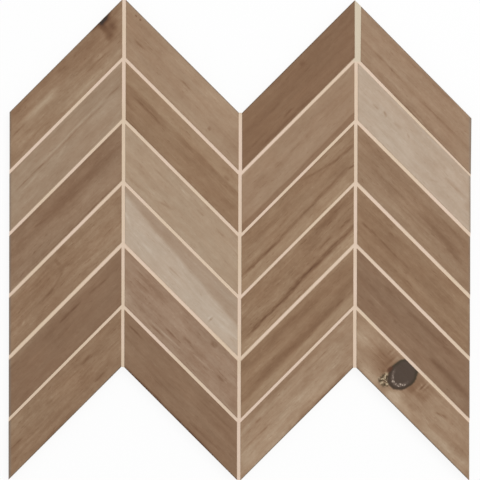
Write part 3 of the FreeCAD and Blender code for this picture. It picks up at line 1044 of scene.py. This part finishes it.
CHIPS[4, 6] = ("honey_oak", -0.12, 1.2, [
    streak(-58, -2, 16, 9, 0.14), streak(-38, -5, 14, 7, -0.42), streak(-32, 2, 7, 5, -0.25),
    streak(-10.3, 12.2, 9, 4.6, 0.68), streak(3, 13, 11, 3.8, 0.42), streak(-36.5, 13.2, 13, 4, 0.62),
    streak(-9.5, 7.6, 4, 2, 0.4), streak(6.5, 7.5, 5, 2.5, -0.35), streak(-5, -3.6, 6, 4.6, -0.78),
    streak(-30.5, 3.5, 3, 2, -0.35), streak(-64, -2, 13, 12, 0.24), streak(-27, -12.5, 5, 4, 0.25),
    streak(-37, -2, 9, 8, -0.12), streak(2.6, -10.4, 3, 5, -0.35), streak(2.2, -12.4, 1.2, 3.2, 0.6),
    streak(0.6, -9.5, 1, 2.6, -0.8), streak(5, -4.5, 7, 3, -0.55, tilt=-0.3),
    streak(28.2, -5, 7, 1.3, -0.65, tilt=-0.35), streak(36.2, 0.5, 24, 3, 0.25, tilt=0.1),
    streak(-56.8, 13.5, 12, 2, -0.15), streak(-30.8, -10.1, 1.3, 4.5, 0.36),
    streak(-32.9, -7.7, 1.2, 4, -0.4), streak(-36.5, -13, 1, 3, 0.3), streak(-38.5, -12, 1, 3, -0.35),
    streak(-5, -9, 4.5, 6, -0.4), streak(-1, -12, 19, 4, -0.38), streak(-62, 1, 14, 4, -0.15),
    streak(48, 11.5, 30, 3.8, 0.4), streak(70, 12, 7, 6, 0.3)])
print("fourth column:", sum(len(CHIPS[4, row][3]) for row in range(1, ROWS + 1)), "marks")

# %% [markdown]
# ## The fired body
# The sides and the back of a chip aren't printed. They show the body: a dull brown-grey clay with
# fine dark and pale grit. On the sides the saw has left it matte. Each chip could have a body of its
# own colour, but they were pressed from one clay, so one material serves all 24. Its noise is read
# at the place of each point in the sheet, so no two chips show the same grit.

# %% The fired body
CLAY_PER_MM, CLAY_DARK, CLAY_PALE = (0.09, 0.09, 0.3), linear(138, 122, 105), linear(152, 136, 118)
GRIT_PER_MM, GRIT_DARK, GRIT_PALE = (2.6, 2.6, 2.6), linear(104, 91, 78), linear(184, 170, 150)
BODY_BUMP, BODY_BUMP_MM = 0.6, 0.08


def place_in_mm(wires):
    """Where the shaded point lies in its piece, in mm."""
    place = wires.vector("SCALE", wires.put("TexCoord").outputs["Object"])
    place.node.inputs["Scale"].default_value = 1 / MM
    return place


body, wires, shader = new_material("fired_body")
place = place_in_mm(wires)
clay = wires.noise(place, CLAY_PER_MM, 3.0)
grit = wires.noise(place, GRIT_PER_MM, 2.0, 0.7)
colour = wires.mix(clay, CLAY_DARK, CLAY_PALE)
colour = wires.mix(wires.ease(grit, 0.6, 0.7, 0.0, 0.6), colour, GRIT_DARK)
colour = wires.mix(wires.ease(grit, 0.4, 0.3, 0.0, 0.5), colour, GRIT_PALE)
wires.feed(shader.inputs["Base Color"], colour)
wires.feed(shader.inputs["Roughness"], wires.ease(grit, 0.3, 0.7, 0.74, 0.88))
shader.inputs["Specular IOR Level"].default_value = 0.25
bumped(wires, shader, grit, BODY_BUMP, BODY_BUMP_MM)
print("body material:", body.name)

# %% [markdown]
# ## Make the chips
# Each chip gets its own mesh, its own print and the shared body. It rides on the one body of the
# sheet and stands in for its solid. The table
# below says, for each column from the top down, how much cement haze each of the five joints
# between its chips has kept, from 0 for a joint that was wiped clean. These amounts were worked out
# from how wide each joint measures in the photograph and in an earlier render.

# %% Make the chips
JOINT_HAZE = {
    1: (0.16, 0.21, 0.48, 0.73, 0.0),
    2: (0.21, 0.0, 0.0, 0.68, 0.0),
    3: (0.43, 0.05, 0.08, 0.55, 0.0),
    4: (0.0, 0.45, 0.63, 0.32, 0.25),
}


def add_piece(name, mesh, materials, replaced):
    """Puts a mesh in the scene as a piece of the sheet, in place of its solid."""
    for material in materials:
        mesh.materials.append(material)
    piece = bpy.data.objects.new(name, mesh)
    bpy.context.scene.collection.objects.link(piece)
    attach(piece, "root")
    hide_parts(replaced)
    return piece


for number, spot in enumerate(SPOTS):
    column, row = spot
    tone_name, step, lively, marks = CHIPS[spot]
    corners = corners_of[spot]
    base = [part * power ** step for part, power in zip(TONES[tone_name], TONE_POWERS)]
    seed = number + 1.0
    open_side = -1 if row == 1 else 1 if row == ROWS else 0
    hazes = (0.0, *JOINT_HAZE[column], 0.0)
    row_hazes = hazes[row - 1], hazes[row]
    face = printed_oak(f"print_c{column}_r{row}", base, lively, marks, corners, column % 2 == 1, seed,
                       open_side, row_hazes, knotted=spot == (4, 6))
    mesh = chip_mesh(f"oak_chip_c{column}_r{row}", spot, seed)
    add_piece(f"oak_chip_c{column}_r{row}", mesh, [face, body], chip_name(column, row))
print("chips made:", len(SPOTS))

# %% [markdown]
# ## The shape of the joints
# The joints are filled with cream cement and fine sand. The filler was wiped while it was soft, so
# it lies a little below the faces, is hollow along its middle and laps over the foot of each bevel.
# It could be a plain slab with holes, but then each joint would have a flat top. So it is drawn
# from above: the outline of the sheet and one hole for each chip, with more points scattered along
# the joints, are cut into small triangles, and then each point gets a height of its own. The
# function that cuts them wants every outline anticlockwise, so they are turned round for it.

# %% Outlines in the plane of the sheet


def sheet_outline():
    """The sheet's outline in mm, clockwise through the corners of the chips on its edge."""
    columns, rows = range(1, COLUMNS + 1), range(1, ROWS + 1)
    top = [corners_of[c, 1][k] for c in columns for k in (TOP_LEFT, TOP_RIGHT)]
    right = [corners_of[COLUMNS, r][k] for r in rows for k in (TOP_RIGHT, BOTTOM_RIGHT)]
    bottom = [corners_of[c, ROWS][k] for c in reversed(columns) for k in (BOTTOM_RIGHT, BOTTOM_LEFT)]
    left = [corners_of[1, r][k] for r in reversed(rows) for k in (BOTTOM_LEFT, TOP_LEFT)]
    return [corner / MM for corner in top + right[1:] + bottom[1:] + left[1:-1]]


def shrunk(loop, amounts):
    """A clockwise outline with each of its sides moved inwards by its own amount."""
    sides = []
    for start, end, amount in zip(loop, loop[1:] + loop[:1], amounts):
        along = (end - start).normalized()
        inward = Vector((along.y, -along.x)) * amount
        sides.append(((start + inward).to_3d(), (end + inward).to_3d()))
    return [geometry.intersect_line_line(*sides[k - 1], *sides[k])[0].to_2d()
            for k in range(len(sides))]


def dotted(loop, step):
    """The points of a closed outline, about a step apart."""
    points = []
    for start, end in zip(loop, loop[1:] + loop[:1]):
        count = max(1, round((end - start).length / step))
        points += [start.lerp(end, k / count) for k in range(count)]
    return points


print("corners of the sheet:", len(sheet_outline()))

# %% Where the filler's points lie
LAP_MM = 0.3
PAST_EDGE_MM = 1.0
FILLER_STEP_MM = 1.15
ACROSS_JOINT = (0.25, 0.5, 0.75)


def chip_hole(spot):
    """The hole that a chip leaves in the filler, drawn out past the edge of the sheet."""
    column, row = spot
    shared = (row > 1, column < COLUMNS, row < ROWS, column > 1)
    corners = [corner / MM for corner in corners_of[spot]]
    return shrunk(corners, [LAP_MM if side else -PAST_EDGE_MM for side in shared])


def facing_edges():
    """The pairs of chip edges that face each other across a joint."""
    for column, row in SPOTS:
        here = corners_of[column, row]
        if row < ROWS:
            lower = corners_of[column, row + 1]
            yield here[BOTTOM_LEFT], here[BOTTOM_RIGHT], lower[TOP_LEFT], lower[TOP_RIGHT]
        if column < COLUMNS:
            beside = corners_of[column + 1, row]
            yield here[TOP_RIGHT], here[BOTTOM_RIGHT], beside[TOP_LEFT], beside[BOTTOM_LEFT]


def points_along_joints():
    """Points between the chips, in three rows along each joint."""
    points = []
    for near_start, near_end, far_start, far_end in facing_edges():
        count = round((near_end - near_start).length / MM / FILLER_STEP_MM)
        for k in range(count):
            share = (k + 0.5) / count
            near, far = near_start.lerp(near_end, share), far_start.lerp(far_end, share)
            points += [near.lerp(far, across) / MM for across in ACROSS_JOINT]
    return points


print("joints between chips:", len(list(facing_edges())))

# %% The mesh of the filler
FILLER_SINK_MM = 0.53
FILLER_HOLLOW_MM = 0.11
SAND_MM = 0.05
SAND_PER_MM = 1.4
BACK_RECESS_MM = 0.05
CUT_TOLERANCE_MM = 1e-4


def filler_mesh():
    """The filler as one closed body: the wiped top, the plain back and the walls between."""
    points, loops = [], []
    for loop in [sheet_outline(), *(chip_hole(spot) for spot in SPOTS)]:
        ring = dotted(list(reversed(loop)), FILLER_STEP_MM)
        loops.append(list(range(len(points), len(points) + len(ring))))
        points += ring
    on_rim = len(points)
    points += points_along_joints()
    cut = geometry.delaunay_2d_cdt(points, [], loops, 0, CUT_TOLERANCE_MM)
    flat, _, triangles, sources, _, owners = cut
    kept = [triangle for triangle, owner in zip(triangles, owners) if list(owner) == [0]]
    made = bmesh.new()
    upper, lower = {}, {}
    for index in sorted({index for triangle in kept for index in triangle}):
        x, y = flat[index]
        inside = bool(sources[index]) and min(sources[index]) >= on_rim
        sand = SAND_MM * noise.noise(Vector((x, y, 0.0)) * SAND_PER_MM)
        sink = FILLER_SINK_MM + (FILLER_HOLLOW_MM if inside else 0.0) + sand
        upper[index] = made.verts.new((x * MM, y * MM, chip_high.z - sink * MM))
        lower[index] = made.verts.new((x * MM, y * MM, back_z + BACK_RECESS_MM * MM))
    for a, b, c in kept:
        made.faces.new((upper[a], upper[b], upper[c]))
        made.faces.new((lower[c], lower[b], lower[a]))
    beneath = {upper[index]: lower[index] for index in upper}
    for edge in [edge for edge in made.edges if edge.is_boundary]:
        first, second = edge.verts
        if first in beneath:
            made.faces.new((first, second, beneath[second], beneath[first]))
    return finished_mesh("cream_joint_filler", made, SHARP_ANGLE)


print("filler lies below the faces by mm:", FILLER_SINK_MM)

# %% [markdown]
# ## The filler's colour
# The cement is cream with slow clouds of pink and yellow in it, and grains of brown sand. At the
# right peak, where the odd chip left the joint too wide, it was filled with a little more cement,
# and there it is darker and yellower. A second material would need a seam, so the shading asks how
# far the point is from that joint.

# %% The filler's colour
CLOUDS_PER_MM, CLOUD_FROM_TO = (0.02, 0.02, 0.1), (0.35, 0.65)
YELLOW_CREAM, PINK_CREAM = linear(223, 201, 176), linear(229, 205, 186)
WIDE_CREAM, WIDE_REACH_MM, WIDE_FOOT_MM = linear(214, 200, 177), (3.0, 5.0), (-27.0, -24.0)
SANDS_PER_MM, GRAIN_FROM_TO, SAND_BROWN = (2.2, 2.2, 2.2), (0.58, 0.7), linear(190, 168, 142)
SAND_BUMP, SAND_BUMP_MM = 0.7, 0.12

filler, wires, shader = new_material("cream_filler")
place = place_in_mm(wires)
cloud = wires.noise(place, CLOUDS_PER_MM, 3.0)
sand = wires.noise(place, SANDS_PER_MM, 2.0, 0.7)
colour = wires.mix(wires.ease(cloud, *CLOUD_FROM_TO), YELLOW_CREAM, PINK_CREAM)
wide_joint = (corners_of[3, 1][TOP_RIGHT] + corners_of[4, 1][BOTTOM_LEFT]) / 2 / MM
place_x, place_y, _ = wires.split(place)
beside_joint = wires.ease(wires.size(wires.less(place_x, wide_joint.x)), *WIDE_REACH_MM, 1.0, 0.0)
above_foot = wires.ease(wires.less(place_y, wide_joint.y), *WIDE_FOOT_MM)
colour = wires.mix(wires.times(beside_joint, above_foot), colour, WIDE_CREAM)
colour = wires.mix(wires.ease(sand, *GRAIN_FROM_TO, 0.0, 0.4), colour, SAND_BROWN)
wires.feed(shader.inputs["Base Color"], colour)
wires.feed(shader.inputs["Roughness"], wires.ease(sand, 0.3, 0.7, 0.84, 0.95))
shader.inputs["Specular IOR Level"].default_value = 0.2
bumped(wires, shader, sand, SAND_BUMP, SAND_BUMP_MM)
joints = add_piece("cream_joint_filler", filler_mesh(), [filler], "joint_grout")
print("faces of the joint filler:", len(joints.data.polygons))

# %% [markdown]
# ## The net
# A net of glass yarn, glued to the back, holds the chips at their spacing until they are on the
# wall. The upright yarns touch the wall side and the level ones the chips. A yarn is a flat bundle,
# stiffened with resin, widest where it crosses another. A curve with a bevel could make it, but it
# would be round and even. So each yarn is a line of small rings whose width follows the crossings.

# %% The shape of a yarn
NET_PITCH_MM = 5.0
NET_INSET_MM = 2.0
YARN_WIDTH_MM = 0.9
YARN_THICK_MM = 0.25
YARN_PINCH = 0.22
YARN_SIDES = 6
YARN_STEP_MM = NET_PITCH_MM / 2
YARN_SWAY_MM, YARN_SWAYS_PER_MM = 0.06, 0.2
YARN_SHARP_ANGLE = math.radians(75)
UPRIGHT, LEVEL = 0, 1


def yarn_spans(loop, level, across):
    """Where a straight yarn at one level lies inside an outline: pairs of ends, in mm."""
    along = 1 - across
    ends = []
    for start, end in zip(loop, loop[1:] + loop[:1]):
        if (start[across] > level) != (end[across] > level):
            share = (level - start[across]) / (end[across] - start[across])
            ends.append(start[along] + share * (end[along] - start[along]))
    ends.sort()
    return list(zip(ends[::2], ends[1::2]))


def yarn_rings(level, span, across, middle_z):
    """The rings of points along one yarn."""
    first, last = span
    count = max(1, round((last - first) / YARN_STEP_MM))
    rings = []
    for k in range(count + 1):
        place = first + (last - first) * k / count
        swell = 1.0 - YARN_PINCH * (0.5 - 0.5 * math.cos(math.tau * place / NET_PITCH_MM))
        sway = YARN_SWAY_MM * noise.noise(Vector((place * YARN_SWAYS_PER_MM, level, middle_z)))
        ring = []
        for side in range(YARN_SIDES):
            angle = math.tau * (side + 0.5) / YARN_SIDES
            out = level + sway + YARN_WIDTH_MM / 2 * swell * math.cos(angle)
            z = middle_z + YARN_THICK_MM / 2 * math.sin(angle)
            x, y = (place, out) if across == LEVEL else (out, place)
            ring.append((x * MM, y * MM, z * MM))
        rings.append(ring)
    return rings


def yarn_mesh(name, across, middle_z):
    """One layer of yarns. Across is the axis they are spaced along: 0 for X and 1 for Y."""
    outline = sheet_outline()
    room = shrunk(outline, [NET_INSET_MM] * len(outline))
    reach = int(max(point[across] for point in room) / NET_PITCH_MM)
    made = bmesh.new()
    for k in range(-reach, reach + 1):
        for span in yarn_spans(room, k * NET_PITCH_MM, across):
            rings = yarn_rings(k * NET_PITCH_MM, span, across, middle_z)
            lines = [[made.verts.new(point) for point in ring] for ring in rings]
            for line, following in zip(lines, lines[1:]):
                for side in range(YARN_SIDES):
                    after = (side + 1) % YARN_SIDES
                    made.faces.new((line[side], line[after], following[after], following[side]))
            made.faces.new(lines[0])
            made.faces.new(lines[-1])
    return finished_mesh(name, made, YARN_SHARP_ANGLE)


print("yarns are", NET_PITCH_MM, "mm apart")

# %% The net
STRANDS_PER_MM = (1.5, 1.5, 1.5)
RESIN_GREY, GLASS_WHITE = linear(214, 212, 200), linear(244, 243, 236)

yarn, wires, shader = new_material("glass_yarn")
strand = wires.noise(place_in_mm(wires), STRANDS_PER_MM, 2.0, 0.6)
wires.feed(shader.inputs["Base Color"], wires.mix(strand, RESIN_GREY, GLASS_WHITE))
wires.feed(shader.inputs["Roughness"], wires.ease(strand, 0.3, 0.7, 0.4, 0.55))
half_yarn = YARN_THICK_MM / 2
add_piece("upright_yarns", yarn_mesh("upright_yarns", UPRIGHT, half_yarn), [yarn], "net_warp")
level_mesh = yarn_mesh("level_yarns", LEVEL, 3 * half_yarn)
level_yarns = add_piece("level_yarns", level_mesh, [yarn], "net_weft")
print("faces of the level yarns:", len(level_yarns.data.polygons))

# %% [markdown]
# ## Last lines
